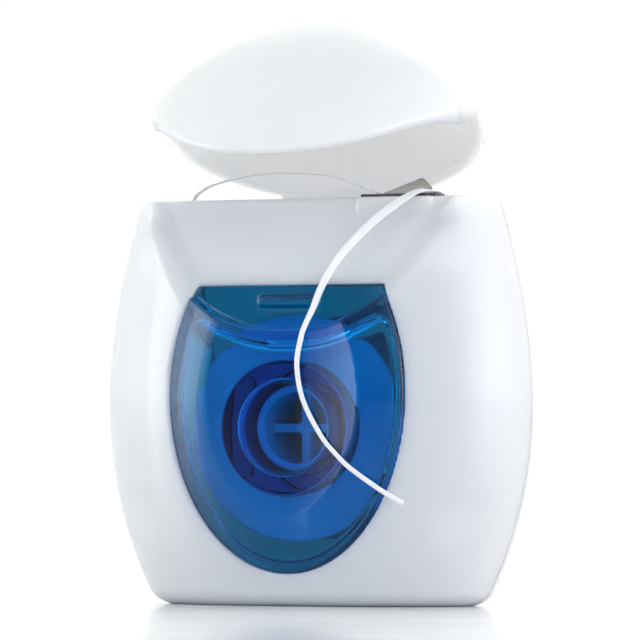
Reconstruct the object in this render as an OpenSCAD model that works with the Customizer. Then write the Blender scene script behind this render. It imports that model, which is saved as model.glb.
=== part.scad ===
// Dental floss dispenser with a flip-up lid, shown with the lid half open.
// Millimetres. +X is to the right, the front faces -Y, and z = 0 is the resting face.

/* [Body] */
// Height of the body, from the resting face to the deck under the lid
body_h = 40.4; // [38:0.1:44]
// Widest width of the body
belly_w = 45; // [43:0.5:50]
// Width of the body at the resting face
base_w = 34.8; // [32:0.2:38]
// Width of the body at the deck
deck_w = 38.1; // [37:0.1:41]
// Height of the widest level
belly_z = 20.8; // [18:0.2:24]
// Front depth of the body at the widest level, from the seam plane
front_depth = 10.8; // [10.6:0.1:12]
// How much less deep the front is at the resting face
front_base_drop = 2.4; // [1:0.1:3]
// How much less deep the front is at the deck
front_deck_drop = 1.8; // [1:0.1:2.2]
// Rear depth of the body at the widest level, from the seam plane
rear_depth = 11.5; // [10.5:0.1:14]
// How much less deep the rear is at the resting face
rear_base_drop = 3.1; // [1:0.1:4]
// How much less deep the rear is at the deck
rear_deck_drop = 5; // [4.6:0.1:5.6]
// Thickness of the body walls
wall = 1.2; // [0.9:0.1:1.5]
// Rounding of the bottom edge
bottom_round = 1.5; // [0.5:0.1:2]
// Rounding of the top edge
top_round = 0.4; // [0.2:0.1:0.8]

/* [Window] */
// Widest width of the window
window_w = 25.2; // [23:0.2:27]
// Height that the window's full oval would have
window_h = 35.2; // [33:0.2:36]
// Height of the middle of the window's oval
window_z = 20.8; // [20.2:0.1:21.6]
// Width of the raised front of the window
plateau_w = 16.4; // [14:0.2:18]
// Height that the raised front's full oval would have
plateau_h = 23.6; // [20:0.2:26]
// How far the raised front stands out from the seam plane
plateau_depth = 10.7; // [10.6:0.1:11]
// How far the middle of the raised front bulges beyond its edge
window_bulge = 0.2; // [0.1:0.1:0.5]
// Thickness of the window's wall
window_wall = 1.2; // [0.8:0.1:1.4]
// Depth of the window's side walls behind its front edge
window_side = 2; // [1.5:0.1:2.4]

/* [Scoop] */
// Half width of the scoop at the deck
scoop_top = 16.6; // [16:0.1:17]
// Half width of the scoop where it meets the window
scoop_low = 10.7; // [10.5:0.1:11.5]
// Height of the scoop, from the deck to the top edge of the window
scoop_h = 8.7; // [8:0.1:9.5]
// Depth of the scoop's floor at the deck, from the seam plane
scoop_deck_y = 4.4; // [4.2:0.1:5]
// Depth of the scoop's floor at the window, from the seam plane
scoop_window_y = 8.2; // [8:0.1:8.5]
// How far below the deck the lid's tongue meets the window
seat_drop = 13.2; // [12:0.1:14]
// Distance from the middle at which the lid's lower edge has risen to the deck
edge_reach = 18; // [17.6:0.1:18.2]
// Radius of the rib that the lid's bead closes against
rib_r = 0.6; // [0.4:0.1:0.7]
// Length of that rib
rib_l = 6.4; // [5:0.2:9]
// How far the rib lies above the seat
rib_up = 3.1; // [2.6:0.1:3.6]

/* [Lid] */
// Widest width of the lid
lid_w = 35.9; // [35.5:0.1:36.4]
// Height of the closed lid above the deck
lid_h = 12.3; // [10:0.1:14]
// Depth of the lid in front of its tips
lid_front = 9.1; // [8.9:0.1:9.3]
// Depth of the lid behind its tips
lid_rear = 10.3; // [10.2:0.1:10.5]
// How far the lid's tips lie in front of the seam plane
lid_tips_y = 4; // [3.8:0.1:4.2]
// Thickness of the lid's wall
lid_wall = 0.9; // [0.7:0.1:1.1]
// How far the tongue's edge leans back from the lid's foremost line
tongue_curl = 0.7; // [0.5:0.1:0.9]
// Gap between the closed lid's rim and the deck
lid_gap = 0.4; // [0.3:0.1:0.6]
// Gap between the closed tongue and the window, where the floss comes out
tongue_gap = 0.8; // [0.6:0.1:1.2]
// Radius of the bead inside the tongue
bead_r = 0.6; // [0.4:0.1:0.7]
// Length of the bead inside the tongue
bead_l = 2.8; // [2:0.1:3.4]
// How far the bead lies above the tongue's edge
bead_up = 1.2; // [1:0.1:1.4]
// How far the lid stands open, in degrees from closed
lid_open = 45; // [0:1:110]

/* [Hinge] */
// Distance of the hinge axis behind the seam plane
hinge_y = 6.3; // [6:0.1:6.6]
// Distance of the hinge axis below the deck
hinge_drop = 0.8; // [0.6:0.1:1]
// Radius of the hinge barrel on the lid
barrel_r = 1.2; // [1.1:0.05:1.3]
// Length of the hinge barrel
barrel_l = 14; // [10:0.5:16]
// Radius of the hinge pins on the rear shell
pin_r = 0.6; // [0.4:0.05:0.7]
// Length of each hinge pin
pin_l = 1.5; // [1:0.1:3]
// Radial clearance of the hinge pins in their bores
pin_clearance = 0.06; // [0.03:0.01:0.1]
// Clearance around the barrel and at its ends
barrel_clearance = 0.3; // [0.2:0.05:0.4]

/* [Spool] */
// Height of the spool axis
spool_z = 17.6; // [17:0.1:18.2]
// Outer radius of the ring on the window that carries the spool
ring_r = 6.5; // [6:0.1:7]
// Wall of that ring
ring_wall = 1.6; // [1:0.1:1.8]
// Radial clearance of the spool on the ring
spool_clearance = 0.08; // [0.03:0.01:0.1]
// Wall of the spool's hub
hub_wall = 0.8; // [0.6:0.1:1.2]
// Radius of the spool's flanges
flange_r = 11.2; // [10.4:0.1:11.6]
// Thickness of the spool's flanges
flange_t = 0.6; // [0.5:0.1:0.9]
// Width of the spool over its flanges
spool_w = 12; // [10:0.5:13]
// Distance of the spool's front flange in front of the seam plane
spool_front = 6; // [5.6:0.1:6.2]
// Radius of the post inside the ring
post_r = 4.3; // [3.5:0.1:4.5]
// Wall of the post
post_wall = 0.8; // [0.6:0.1:1]
// Thickness of the cross inside the post
cross_t = 0.9; // [0.6:0.1:1.2]
// How far the cross lies back inside the post
cross_back = 2.2; // [1:0.1:3]

/* [Floss] */
// Outer radius of the wound floss, without its outer turns
bulk_r = 9.6; // [8.6:0.1:9.8]
// Gap between the wound floss and the flanges
bulk_gap = 0.1; // [0.05:0.05:0.3]
// Diameter of one turn of the outer layer
turn_d = 0.6; // [0.4:0.05:0.7]
// Number of turns in the outer layer
turns = 8; // [4:1:8]
// Width of the floss tape
tape_w = 1; // [0.7:0.05:1.2]
// Thickness of the floss tape
tape_t = 0.2; // [0.1:0.05:0.25]

/* [Outlet and cutter] */
// Distance of the floss outlet from the middle of the deck
outlet_x = 13.2; // [12:0.1:14]
// Distance of the floss outlet in front of the seam plane
outlet_y = 1.8; // [1.6:0.1:2]
// Radius of the floss outlet
outlet_r = 0.9; // [0.8:0.05:1.1]
// Distance of the left end of the cutter from the middle of the deck
cutter_x = 5.8; // [5:0.1:6]
// Length of the cutter plate
cutter_l = 7.9; // [7.6:0.1:8.4]
// Width of the cutter plate
cutter_w = 2.8; // [2.4:0.1:3]
// Distance of the middle of the cutter in front of the seam plane
cutter_y = 2.5; // [2.2:0.1:2.6]
// Thickness of the cutter's sheet steel
steel_t = 0.3; // [0.2:0.05:0.35]
// Distance of the raised fin from the left end of the cutter
fin_in = 1.7; // [1.4:0.1:2]
// Length of the fin
fin_l = 5.3; // [4.6:0.1:5.6]
// Height of the fin's highest point above the deck
fin_h = 1.9; // [1.6:0.1:2.2]
// Distance of that point from the fin's left end
fin_peak = 4.2; // [3.4:0.1:4.4]
// Height of the fin's left end above the deck
fin_left = 0.6; // [0.4:0.1:0.9]
// Height of the fin's right end above the deck
fin_right = 0.9; // [0.5:0.1:1.2]
// Length of the cutter's legs below the deck
leg_l = 2.2; // [1.6:0.1:3]
// Width of the cutter's legs
leg_w = 1.6; // [1:0.1:2]
// Clearance of the cutter's legs in their slots
leg_clearance = 0.05; // [0.02:0.01:0.1]
// How far the boss below the cutter stands out of the scoop's floor at the deck
boss_out = 0.7; // [0.5:0.1:1]
// How far the boss reaches past each end of the cutter
boss_past = 0.1; // [0:0.1:0.4]

/* [Snap posts] */
// Distance of the snap posts from the middle of the body
snap_x = 15.5; // [15:0.1:16]
// Height of the lower snap posts
snap_low = 8; // [7:0.1:9]
// Height of the upper snap posts
snap_high = 34; // [33:0.1:35]
// Radius of the snap posts
snap_r = 0.9; // [0.7:0.05:1]
// Radial clearance of the snap posts in their sockets
snap_clearance = 0.05; // [0.03:0.01:0.1]
// Wall of the sockets
socket_wall = 0.8; // [0.6:0.1:1]
// How far the snap posts reach into the front shell
snap_reach = 3; // [2:0.1:3.4]

/* [Hidden] */

// Shape of the outlines: 2 is an ellipse, more is squarer
plan_power = 2.2;
lid_front_power = 2.2;
lid_rear_power = 1.9;
lid_top_power = 2.5;
lid_back_power = 1.7;
lid_tip_power = 1.8;
edge_power = 2.4;
// How the body's width and depth run from the widest level to its ends
low_power = 2.2;
high_power = 1.75;
depth_low_power = 2.4;
front_high_power = 1.3;
rear_high_power = 1.9;
// Share of the scoop's taper that is straight, the rest grows with depth
scoop_straight = 0.8;
// The window's bulge is this share of its plateau, and the shoulder lies at these
// shares of the way from the plateau to the edge, outwards and backwards
bulge_share = 0.5;
shoulder_out = 0.45;
shoulder_back = 0.32;
// The window's edge lies this far behind the body's front
window_step = 0.1;
// The wall at the lid's tips, in wall thicknesses
tip_walls = 1.5;
// The tongue starts this far in front of the lid's tips
tongue_start = 2;
// The hinge web starts this far behind the barrel's front and reaches this far into the lid
web_in = 0.1;
web_up = 0.8;
// The fin's left corner is cut back by this much
fin_rise = 0.6;
// The bores and sockets are this much deeper than their pins and posts reach
bore_spare = 0.2;
socket_spare = 0.3;
// Steps along the curves
arc_steps = 28;
level_steps = 11;
round_steps = 3;
section_steps = 7;
tongue_steps = 4;
station_steps = 20;
oval_steps = 48;
outline_steps = 12;
round_fn = 96;
// Lids end in small flat tips here, as a share of a quarter turn
tip_angle = 80;
// A cut runs this much past the face that it opens
past = 1;
far = 30;
scoop_over = 2;
// The outer layer of turns: rings for each turn and sides of the tube
turn_rings = 24;
turn_sides = 6;
strand_sides = 8;

white = [0.93, 0.94, 0.96];
clear_blue = [0.05, 0.35, 0.72, 0.6];
grey = [0.78, 0.8, 0.83];
steel = [0.6, 0.58, 0.56];
floss_white = [0.97, 0.97, 0.97];

deck_z = body_h;
deck_under = body_h - wall;
window_top_z = deck_z - scoop_h;
lid_a = lid_w / 2;
hinge_z = deck_z - hinge_drop;
ring_bore = ring_r - ring_wall;
hub_bore = ring_r + spool_clearance;
spool_rear = spool_w - spool_front;
ring_rear = spool_rear - flange_t;
socket_r = snap_r + snap_clearance + socket_wall;
scoop_slope = atan((scoop_window_y - scoop_deck_y) / scoop_h);
turn_r = bulk_r + turn_d / 2;
bulk_front = spool_front - flange_t - bulk_gap;
bulk_w = spool_w - 2 * flange_t - 2 * bulk_gap;
turn_margin = turn_d / 4;
turn_pitch = (bulk_w - turn_d - 2 * turn_margin) / turns;
turn_angles = [for (k = [0:turns * turn_rings]) 360 * k / turn_rings];
turn_points = [
    for (t = turn_angles)
        [
            turn_r * cos(t),
            turn_d / 2 + turn_margin - bulk_front + turn_pitch * t / 360,
            spool_z + turn_r * sin(t)
        ]
];
last_turn_point = turns * turn_rings;
// Least distance between the tubes of two turns, measured on their points
turn_gap = min([
    for (k = [0:last_turn_point - turn_rings / 2])
        for (n = [k + turn_rings / 2:last_turn_point])
            norm(turn_points[n] - turn_points[k])
]) - turn_d;
echo(outer_turn_gap = turn_gap);

// The free strand: up from the winding through the outlet, over to the cutter, and the tail.
// Each row holds a point, and the way that the flat side of the tape faces there.
strand_route = [
    [-10.7, -1.8, 17.6, -1, 0, 0],
    [-10.7, -1.8, 21, -1, 0, 0],
    [-11, -1.8, 25, -1, 0, 0],
    [-11.6, -1.8, 29, -1, 0, 0],
    [-12.4, -1.8, 33.5, -1, 0, 0],
    [-13, -1.8, 37.5, -1, 0, 0],
    [-13.2, -1.8, 39.6, -1, 0, 0],
    [-13.1, -1.8, 40.6, -1, 0, 0.3],
    [-12.5, -1.8, 41.3, -1, 0, 1],
    [-10.8, -1.8, 42.1, 0, 0, 1],
    [-7, -1.8, 42.9, 0, 0, 1],
    [-2.7, -1.7, 43.1, 0, 0, 1],
    [1.6, -1.5, 42.7, 0, 0, 1],
    [4.6, -1.3, 41.7, 0, 0, 1],
    [6.8, -1.2, 40.9, 0, 0, 1],
    [9, -1.1, 40.8, 0, 0, 1],
    [11.4, -1.2, 40.8, 0, 0, 1],
    [12.9, -1.5, 40.8, 0, 0, 1],
    [13.5, -2.4, 40.8, 0, 0, 1],
    [13.4, -3.5, 40.9, 0, 0, 1],
    [12.4, -4.8, 40.9, 0, -1, 2],
    [10.7, -5.9, 39.8, 0, -1, 0.6],
    [8.3, -6.9, 37.8, 0, -1, 0.4],
    [5.8, -8, 35, 0, -1, 0.4],
    [4.6, -8.8, 33, 0, -1, 0.4],
    [3.7, -9.3, 31.1, 0, -1, 0.3],
    [3.2, -9.7, 29.5, 0, -1, 0.4],
    [2.9, -10.3, 28.4, 0, -1, 0.6],
    [2.8, -11, 27.6, 0, -1, 0.8],
    [2.5, -11.3, 26.4, 0, -1, 0.2],
    [2.1, -11.4, 23.7, 0, -1, 0],
    [2.7, -11.3, 20.3, 0, -1, 0],
    [4.5, -11.2, 16.9, 0, -1, 0],
    [6, -11.1, 15.1, 0, -1, 0],
    [7.6, -11, 13.6, 0, -1, 0],
    [10.6, -10.6, 11.5, 0, -1, 0],
    [12.8, -10.2, 10.2, 0, -1, 0],
];

function signed_power(v, p) = sign(v) * pow(abs(v), p);

// Half width of the body at height z
function half_width(z) =
    z < belly_z
        ? belly_w / 2 - (belly_w - base_w) / 2 * pow((belly_z - z) / belly_z, low_power)
        : belly_w / 2 - (belly_w - deck_w) / 2
            * pow((z - belly_z) / (body_h - belly_z), high_power);

// Depth of the body at height z, for a depth at the widest level and its two drops
function depth_at(z, depth, base_drop, deck_drop, power) =
    z < belly_z
        ? depth - base_drop * pow((belly_z - z) / belly_z, depth_low_power)
        : depth - deck_drop * pow((z - belly_z) / (body_h - belly_z), power);

function front_at(z) =
    depth_at(z, front_depth, front_base_drop, front_deck_drop, front_high_power);
function rear_at(z) =
    depth_at(z, rear_depth, rear_base_drop, rear_deck_drop, rear_high_power);

// Share of the full depth that is left at x on a level whose half width is a
function plan_share(x, a) =
    pow(max(0, 1 - pow(abs(x) / a, plan_power)), 1 / plan_power);

function front_y(x, z, inset = 0) =
    -(front_at(z) - inset) * plan_share(x, half_width(z) - inset);
function rear_y(x, z, inset = 0) =
    (rear_at(z) - inset) * plan_share(x, half_width(z) - inset);

// One level of the body's half on one side of the seam plane, side -1 for the front
function half_level(z, inset, side, over) =
    let (
        a = half_width(z) - inset,
        d = (side < 0 ? front_at(z) : rear_at(z)) - inset,
        arc = [
            for (k = [0:arc_steps])
                let (t = 180 * k / arc_steps)
                [
                    side * a * signed_power(cos(t), 2 / plan_power),
                    side * d * pow(abs(sin(t)), 2 / plan_power),
                    z
                ]
        ]
    )
    over > 0
        ? concat([[side * a, -side * over, z]], arc, [[-side * a, -side * over, z]])
        : arc;

// A closed solid through rings of equally many points
module loft(rings) {
    m = len(rings[0]);
    last = len(rings) - 1;
    polyhedron(
        points = [for (ring = rings) each ring],
        faces = concat(
            [[for (j = [0:m - 1]) j]],
            [
                for (r = [0:last - 1])
                    for (j = [0:m - 1])
                        let (next = (j + 1) % m)
                        each [
                            [r * m + j, (r + 1) * m + j, (r + 1) * m + next],
                            [r * m + j, (r + 1) * m + next, r * m + next]
                        ]
            ],
            [[for (j = [m - 1:-1:0]) last * m + j]]
        ),
        convexity = 4
    );
}

// The body's outer form on one side of the seam plane
module outer_half(side) {
    bottom = [
        for (k = [0:round_steps - 1])
            let (t = 90 * k / round_steps)
            [bottom_round * (1 - cos(t)), bottom_round * (1 - sin(t))]
    ];
    sides = [
        for (k = [0:level_steps])
            [bottom_round + (body_h - top_round - bottom_round) * k / level_steps, 0]
    ];
    top = [
        for (k = [1:round_steps])
            let (t = 90 * k / round_steps)
            [body_h - top_round * (1 - sin(t)), top_round * (1 - cos(t))]
    ];
    loft([for (level = concat(bottom, sides, top)) half_level(level[0], level[1], side, 0)]);
}

// The hollow of the body on one side of the seam plane
module inner_half(side) {
    loft([
        for (k = [0:level_steps])
            half_level(wall + (deck_under - wall) * k / level_steps, wall, side, past)
    ]);
}

// Half width of the scoop at a distance below the deck
function scoop_x(drop) =
    let (share = drop / scoop_h)
    scoop_top
        - (scoop_top - scoop_low)
            * (scoop_straight * share + (1 - scoop_straight) * share * abs(share));

// Height at x of an edge that hangs below the deck by drop in the middle
function edge_z(x, drop) = deck_z - drop * (1 - pow(min(1, abs(x) / edge_reach), edge_power));

// Height of the seat that the lid's tongue closes against
function seat_z(x) = edge_z(x, seat_drop);

// Extrudes an outline drawn in x and z from the front depth to the rear depth
module from_front(front, rear) {
    translate([0, rear, 0])
        rotate([90, 0, 0])
            linear_extrude(height = front + rear)
                children();
}

// The scoop's outline on its sloping floor, grown by a margin
module scoop_outline(margin) {
    along = 1 / cos(scoop_slope);
    half = [
        for (k = [0:outline_steps])
            let (drop = (scoop_h + 2 * scoop_over) * k / outline_steps - scoop_over)
            [scoop_x(drop) + margin, -drop * along]
    ];
    mirrored = [for (k = [len(half) - 1:-1:0]) [-half[k][0], half[k][1]]];
    polygon(concat(half, mirrored));
}

// The space in front of the scoop's floor and above the window, grown by a margin
module scoop_space(margin) {
    intersection() {
        translate([0, -scoop_deck_y, deck_z])
            rotate([90 - scoop_slope, 0, 0])
                translate([0, 0, -margin])
                    linear_extrude(height = far / 2)
                        scoop_outline(margin);
        translate([-far, -far, window_top_z - margin])
            cube([2 * far, 2 * far, far]);
    }
}

// The window's full oval, grown by a margin
module window_outline(margin) {
    intersection() {
        translate([0, window_z])
            polygon([
                for (k = [0:oval_steps - 1])
                    let (t = 360 * k / oval_steps)
                    [
                        (window_w / 2 + margin) * cos(t),
                        (window_h / 2 + margin) * sin(t)
                    ]
            ]);
        translate([-far, -far])
            square([2 * far, far + window_top_z + margin]);
    }
}

// The part of the front above the seat of the tongue, lowered by a margin
module seat_outline(lower) {
    reach = window_w / 2 + past;
    arc = [
        for (k = [-outline_steps:outline_steps])
            let (x = reach * k / outline_steps)
            [x, seat_z(x) - lower]
    ];
    polygon(concat(arc, [[reach, deck_z], [-reach, deck_z]]));
}

module snap_places() {
    for (x = [-snap_x, snap_x])
        for (z = [snap_low, snap_high])
            translate([x, 0, z])
                children();
}

// A round bar along y, from a front depth to a rear depth
module bar_y(front, rear, r) {
    translate([0, rear, 0])
        rotate([90, 0, 0])
            cylinder(h = front + rear, r = r, $fn = round_fn);
}

// A round bar along x, centred
module bar_x(length, r) {
    rotate([0, 90, 0])
        cylinder(h = length, r = r, center = true, $fn = round_fn);
}

module leg_places() {
    for (x = [cutter_x + steel_t / 2, cutter_x + cutter_l - steel_t / 2])
        translate([x, -cutter_y, deck_z])
            children();
}

module leg(margin, down) {
    translate([-steel_t / 2 - margin, -leg_w / 2 - margin, -down])
        cube([steel_t + 2 * margin, leg_w + 2 * margin, down + margin]);
}

// The boss on the scoop's floor below the cutter, with an upright front
module cutter_boss() {
    translate([cutter_x - boss_past, -scoop_deck_y - boss_out, window_top_z])
        cube([cutter_l + 2 * boss_past, boss_out + past, deck_z - window_top_z]);
}

module front_shell() {
    color(white)
        difference() {
            union() {
                difference() {
                    outer_half(-1);
                    difference() {
                        inner_half(-1);
                        scoop_space(wall);
                    }
                }
                for (x = [-snap_x, snap_x])
                    for (z = [snap_low, snap_high])
                        translate([x, 0, z])
                            bar_y(-front_y(snap_x + socket_r, z, wall / 2), 0, socket_r);
            }
            difference() {
                scoop_space(0);
                cutter_boss();
            }
            from_front(far, -wall)
                window_outline(0);
            snap_places()
                bar_y(snap_reach + socket_spare, past, snap_r + snap_clearance);
            translate([-outlet_x, -outlet_y, deck_under - past])
                cylinder(h = wall + 2 * past, r = outlet_r, $fn = round_fn);
            leg_places()
                leg(leg_clearance, wall + past);
        }
}

// The hinge notch in the rear shell, round the lid's barrel and its web
module hinge_notch() {
    r = barrel_r + barrel_clearance;
    l = barrel_l + 2 * barrel_clearance;
    translate([0, hinge_y, hinge_z]) {
        bar_x(l, r);
        translate([-l / 2, -r, 0])
            cube([l, r + far, r + past]);
        translate([-l / 2, 0, -r])
            cube([l, far, 2 * r]);
    }
}

// The block behind the hinge notch that closes the body and carries the pins
module hinge_block() {
    r = barrel_r + barrel_clearance + wall;
    l = barrel_l + 2 * (barrel_clearance + 2 * wall);
    intersection() {
        outer_half(1);
        translate([-l / 2, hinge_y - r, hinge_z - r])
            cube([l, far, far]);
    }
}

module rear_shell() {
    color(white)
        difference() {
            union() {
                difference() {
                    outer_half(1);
                    inner_half(1);
                }
                hinge_block();
                for (x = [-snap_x, snap_x])
                    for (z = [snap_low, snap_high])
                        translate([x, 0, z])
                            bar_y(snap_reach, rear_y(snap_x + snap_r, z, wall / 2), snap_r);
                translate([0, 0, spool_z])
                    post();
            }
            difference() {
                hinge_notch();
                hinge_pins();
            }
        }
}

module hinge_pins() {
    for (side = [-1, 1])
        translate([side * (barrel_l / 2 + barrel_clearance + wall - pin_l / 2), hinge_y, hinge_z])
            bar_x(pin_l + 2 * wall, pin_r);
}

// The post on the rear wall, a tube with a cross inside
module post() {
    back = rear_at(spool_z) - wall / 2;
    difference() {
        bar_y(spool_front, back, post_r);
        bar_y(spool_front + past, back - wall, post_r - post_wall);
    }
    for (turn = [0, 90])
        rotate([0, turn, 0])
            translate([-post_r + post_wall / 2, cross_back - spool_front, -cross_t / 2])
                cube([2 * post_r - post_wall, spool_front - cross_back + back - wall / 2, cross_t]);
}

// One ring of the window: an oval w by h whose points lie at a depth
function oval_ring(w, h, shift) = [
    for (k = [0:oval_steps - 1])
        let (
            t = 360 * k / oval_steps,
            x = w / 2 * sin(t),
            z = window_z + h / 2 * cos(t)
        )
        [x, shift, z]
];

// The window's front edge, which follows the body's front
function edge_ring(margin, back) = [
    for (p = oval_ring(window_w - 2 * margin, window_h - 2 * margin, 0))
        [p[0], front_y(p[0], p[2]) + back, p[2]]
];

function mix(a, b, share) = [for (k = [0:len(a) - 1]) a[k] + (b[k] - a[k]) * share];

// The window's front form, with its wall taken off where inset is the wall
module window_form(inset, back_y) {
    top = oval_ring(
        plateau_w * bulge_share,
        plateau_h * bulge_share,
        inset - plateau_depth - window_bulge
    );
    plateau = oval_ring(plateau_w - inset, plateau_h - inset, inset - plateau_depth);
    edge = edge_ring(inset, inset + window_step);
    shoulder = [
        for (k = [0:oval_steps - 1])
            let (
                p = mix(plateau[k], edge[k], shoulder_out),
                y = mix(plateau[k], edge[k], shoulder_back)[1]
            )
            [p[0], y, p[2]]
    ];
    back = [for (p = edge) [p[0], back_y, p[2]]];
    loft([top, plateau, shoulder, edge, back]);
}

module window_insert() {
    back_y = front_y(window_w / 2, window_z) + window_side;
    rib_z = seat_z(0) + rib_up;
    color(clear_blue) {
        difference() {
            window_form(0, back_y);
            difference() {
                window_form(window_wall, back_y + past);
                from_front(far, window_wall - scoop_window_y)
                    seat_outline(window_wall);
            }
            from_front(far, -scoop_window_y)
                seat_outline(0);
            translate([-far, -far, window_top_z])
                cube([2 * far, 2 * far, far]);
        }
        translate([0, -scoop_window_y - rib_r / 4, rib_z])
            bar_x(rib_l, rib_r);
        translate([0, 0, spool_z])
            difference() {
                bar_y(plateau_depth - window_wall / 2, ring_rear, ring_r);
                bar_y(plateau_depth - window_wall, ring_rear + past, ring_bore);
            }
    }
}

// One section of the closed lid at x, its wall taken off where inset is the wall
function lid_section(x, inset, drop) =
    let (
        a = lid_a - tip_walls * inset,
        share = min(1, abs(x) / a),
        f = (lid_front - inset) * pow(1 - pow(share, lid_front_power), 1 / lid_front_power),
        r = (lid_rear - inset) * pow(1 - pow(share, lid_rear_power), 1 / lid_rear_power),
        h = (lid_h - inset) * (1 - pow(share, lid_tip_power)),
        curl = tongue_curl * f / lid_front
    )
    concat(
        [[x, r - lid_tips_y, deck_z - drop]],
        [
            for (k = [0:section_steps])
                let (t = 90 * k / section_steps)
                [
                    x,
                    r * pow(cos(t), 2 / lid_back_power) - lid_tips_y,
                    deck_z + h * pow(sin(t), 2 / lid_back_power)
                ]
        ],
        [
            for (k = [section_steps - 1:-1:0])
                let (t = 90 * k / section_steps)
                [
                    x,
                    -f * pow(cos(t), 2 / lid_top_power) - lid_tips_y,
                    deck_z + h * pow(sin(t), 2 / lid_top_power)
                ]
        ],
        [
            for (k = [1:tongue_steps])
                let (share = k / tongue_steps)
                [x, curl * share * share - f - lid_tips_y, deck_z - drop * share]
        ]
    );

module lid_form(inset, drop) {
    a = lid_a - tip_walls * inset;
    loft([
        for (k = [0:station_steps])
            lid_section(a * sin(tip_angle * (2 * k / station_steps - 1)), inset, drop)
    ]);
}

// The tongue's outline, seen from the front
module tongue_outline() {
    arc = [
        for (k = [-outline_steps:outline_steps])
            let (x = edge_reach * k / outline_steps)
            [x, edge_z(x, seat_drop - tongue_gap)]
    ];
    top_z = deck_z + lid_gap + past;
    polygon(concat(arc, [[lid_a, deck_z], [lid_a, top_z], [-lid_a, top_z], [-lid_a, deck_z]]));
}

module closed_lid() {
    lip_y = lid_front + lid_tips_y - tongue_curl - lid_wall;
    difference() {
        union() {
            intersection() {
                difference() {
                    lid_form(0, seat_drop);
                    lid_form(lid_wall, seat_drop + past);
                }
                union() {
                    translate([-far, -far, deck_z + lid_gap])
                        cube([2 * far, 2 * far, far]);
                    from_front(far, -lid_tips_y - tongue_start)
                        tongue_outline();
                }
            }
            translate([0, hinge_y, hinge_z])
                bar_x(barrel_l, barrel_r);
            translate([-barrel_l / 2, hinge_y - barrel_r + web_in, hinge_z])
                cube([barrel_l, barrel_r - web_in, hinge_drop + lid_gap + web_up]);
            translate([0, -lip_y, seat_z(0) + tongue_gap + bead_up])
                bar_x(bead_l, bead_r);
        }
        for (side = [-1, 1])
            translate([side * barrel_l / 2, hinge_y, hinge_z])
                bar_x(2 * (pin_l - barrel_clearance + bore_spare), pin_r + pin_clearance);
    }
}

module lid() {
    color(white)
        translate([0, hinge_y, hinge_z])
            rotate([-lid_open, 0, 0])
                translate([0, -hinge_y, -hinge_z])
                    closed_lid();
}

module cutter_blade() {
    color(steel) {
        translate([cutter_x, -cutter_y - cutter_w / 2, deck_z])
            cube([cutter_l, cutter_w, steel_t]);
        leg_places()
            leg(0, leg_l);
        translate([cutter_x + fin_in, steel_t / 2 - cutter_y, deck_z])
            rotate([90, 0, 0])
                linear_extrude(height = steel_t)
                    polygon([
                        [0, 0], [fin_l, 0], [fin_l, fin_right],
                        [fin_peak, fin_h], [fin_rise, fin_left], [0, fin_left / 2]
                    ]);
    }
}

module spool() {
    color(grey)
        translate([0, 0, spool_z])
            difference() {
                union() {
                    bar_y(spool_front, spool_rear, hub_bore + hub_wall);
                    bar_y(spool_front, flange_t - spool_front, flange_r);
                    bar_y(flange_t - spool_rear, spool_rear, flange_r);
                }
                bar_y(spool_front + past, spool_rear + past, hub_bore);
            }
}

// The floss wound below the outer layer, as a plain drum round the hub
module floss_bulk() {
    color(floss_white)
        translate([0, 0, spool_z])
            difference() {
                bar_y(bulk_front, bulk_w - bulk_front, bulk_r);
                bar_y(bulk_front + past, bulk_w - bulk_front + past, hub_bore + hub_wall);
            }
}

// A tube of a few sides round a row of points, each with its two cross directions
module tube(points, across, up, half_across, half_up, sides) {
    loft([
        for (k = [0:len(points) - 1])
            [
                for (j = [0:sides - 1])
                    let (t = -360 * j / sides)
                    points[k] + half_across * cos(t) * across[k] + half_up * sin(t) * up[k]
            ]
    ]);
}

// The outer layer of turns, one tube that winds along the drum
module floss_outer_turns() {
    color(floss_white)
        tube(
            turn_points,
            [for (t = turn_angles) [cos(t), 0, sin(t)]],
            [for (t = turn_angles) [0, 1, 0]],
            turn_d / 2,
            turn_d / 2,
            turn_sides
        );
}

function unit(v) = v / norm(v);

module floss_strand() {
    last = len(strand_route) - 1;
    points = [for (row = strand_route) [row[0], row[1], row[2]]];
    along = [for (k = [0:last]) unit(points[min(last, k + 1)] - points[max(0, k - 1)])];
    facing = [
        for (k = [0:last])
            let (f = [strand_route[k][3], strand_route[k][4], strand_route[k][5]])
            unit(f - (f * along[k]) * along[k])
    ];
    across = [for (k = [0:last]) cross(along[k], facing[k])];
    color(floss_white)
        tube(points, across, facing, tape_w / 2, tape_t / 2, strand_sides);
}

front_shell();
rear_shell();
window_insert();
lid();
cutter_blade();
spool();
floss_bulk();
floss_outer_turns();
floss_strand();
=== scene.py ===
import math

import bmesh
import bpy
import numpy as np
from mathutils import Matrix, Vector


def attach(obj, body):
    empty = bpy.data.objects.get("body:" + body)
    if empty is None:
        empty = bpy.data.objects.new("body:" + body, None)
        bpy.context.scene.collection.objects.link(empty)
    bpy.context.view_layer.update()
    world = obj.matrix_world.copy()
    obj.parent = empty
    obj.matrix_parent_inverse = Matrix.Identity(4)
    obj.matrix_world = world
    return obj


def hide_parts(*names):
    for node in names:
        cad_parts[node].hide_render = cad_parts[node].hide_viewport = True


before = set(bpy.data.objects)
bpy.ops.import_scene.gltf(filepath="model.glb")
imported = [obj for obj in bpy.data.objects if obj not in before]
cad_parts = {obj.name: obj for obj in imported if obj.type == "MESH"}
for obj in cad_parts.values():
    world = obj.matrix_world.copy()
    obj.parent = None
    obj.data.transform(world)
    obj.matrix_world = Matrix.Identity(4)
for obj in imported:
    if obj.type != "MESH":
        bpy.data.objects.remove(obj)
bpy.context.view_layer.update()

# Lengths are in millimetres, and MM turns them into the scene's metres.
MM = 0.001

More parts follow.
